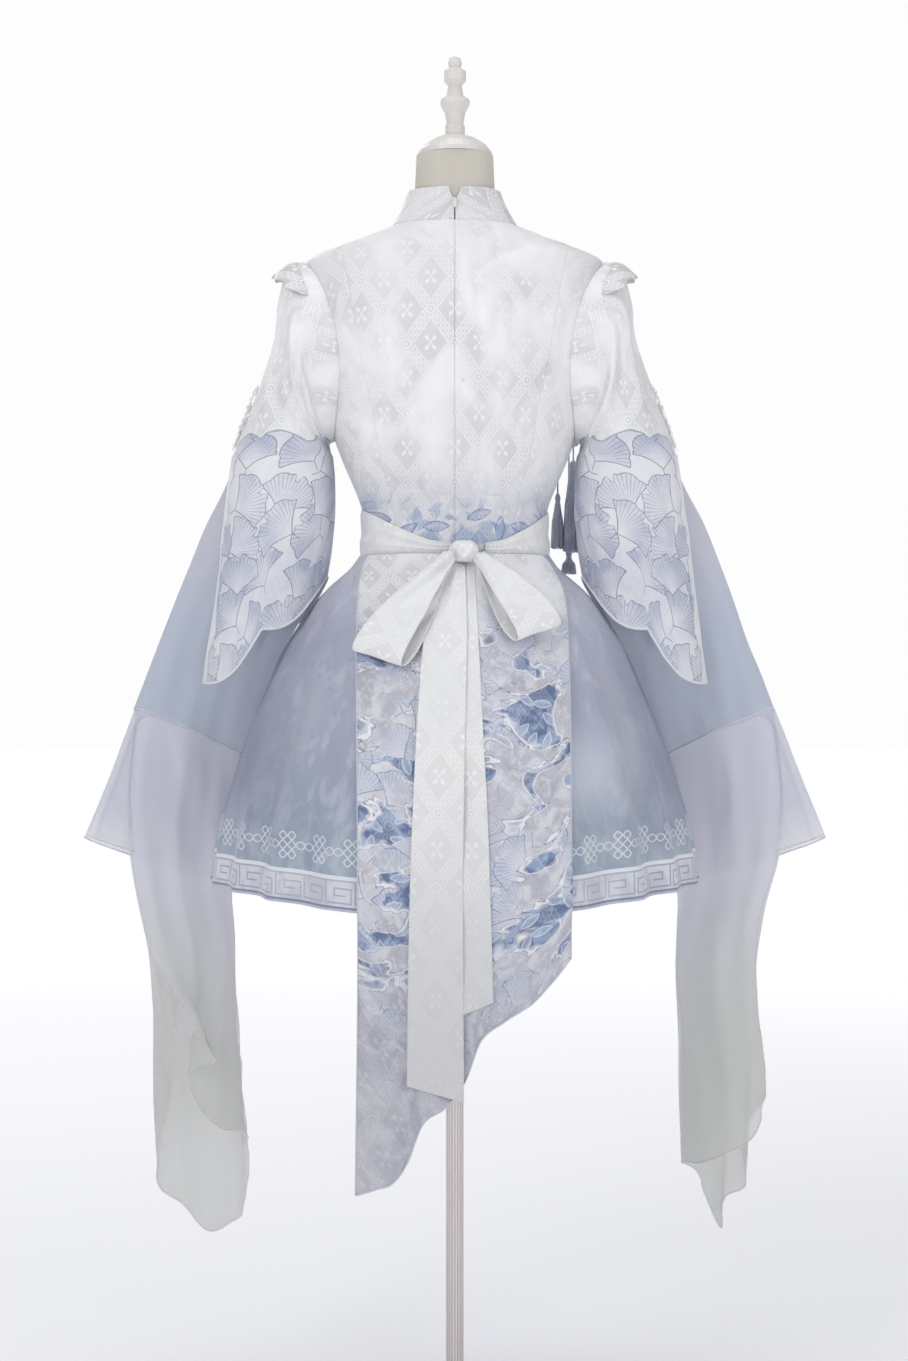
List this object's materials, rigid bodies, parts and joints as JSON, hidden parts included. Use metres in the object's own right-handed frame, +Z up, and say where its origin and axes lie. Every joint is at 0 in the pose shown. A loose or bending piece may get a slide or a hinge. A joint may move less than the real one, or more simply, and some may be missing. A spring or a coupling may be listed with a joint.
{
  "type": "chinese lolita dress set on a dress form",
  "caption": "Chinese lolita dress with stand collar, bell skirt, flared cuffs, organza sleeves, sash bow and hanging back panel, on a dress form.",
  "frame": {"origin": "centre of the round base's underside, on the floor", "axes": "+Z up; the garment's front faces -Y and its back, with the bow, faces +Y; the wearer's left is +X"},
  "size_m": [0.933, 0.5966, 1.716],
  "materials": {
    "jacquard": "white satin jacquard",
    "skirt_cloth": "matt, watercolour print",
    "printed_panel": "satin, printed",
    "printed_cuff": "satin, printed",
    "sash_cloth": "ivory satin jacquard",
    "beaded_trim": "beaded flowers",
    "organza": "sheer",
    "organza_pale": "sheer",
    "zip_plastic": "satin",
    "zip_pull_enamel": "glossy",
    "tassel_thread": "silky thread",
    "form_linen": "plain linen",
    "form_paint": "satin paint",
    "pole_paint": "satin"
  },
  "bodies": {
    "garment": {"back_left": "jacquard", "back_right": "jacquard", "side_back_left": "jacquard", "side_back_right": "jacquard", "front": "jacquard", "collar": "jacquard", "skirt_back_left": "skirt_cloth", "skirt_back_right": "skirt_cloth", "skirt_front_left": "skirt_cloth", "skirt_front_right": "skirt_cloth", "back_panel": "printed_panel", "tail_short": "sash_cloth", "tail_long": "sash_cloth", "sash": "sash_cloth", "bow_knot": "sash_cloth", "bow_loop_left": "sash_cloth", "bow_loop_right": "sash_cloth", "sleeve_left": "jacquard", "sleeve_right": "jacquard", "shoulder_wing_left": "jacquard", "shoulder_wing_right": "jacquard", "flower_trim_left": "beaded_trim", "flower_trim_right": "beaded_trim", "cuff_left": "printed_cuff", "cuff_right": "printed_cuff", "sheer_upper_left": "organza", "sheer_upper_right": "organza", "sheer_flare_left": "organza", "sheer_flare_right": "organza", "sheer_drape_left": "organza_pale", "sheer_drape_right": "organza_pale", "zip_tape": "zip_plastic", "zip_slider": "zip_plastic", "tassel_knot": "tassel_thread", "tassel_inner": "tassel_thread", "tassel_middle": "tassel_thread", "tassel_low": "tassel_thread", "form_torso": "form_linen", "form_cap": "form_paint", "form_finial": "form_paint", "stand_pole": "pole_paint", "stand_base": "form_paint"},
    "pull": {"zip_pull": "zip_pull_enamel"}
  },
  "joints": [
    {"name": "zip_pull_lift", "type": "hinge", "parent": "garment", "child": "pull", "pos_m": [0, 0.0568, 1.528], "axis": [1, 0, 0], "range_deg": [0, 150]}
  ]
}
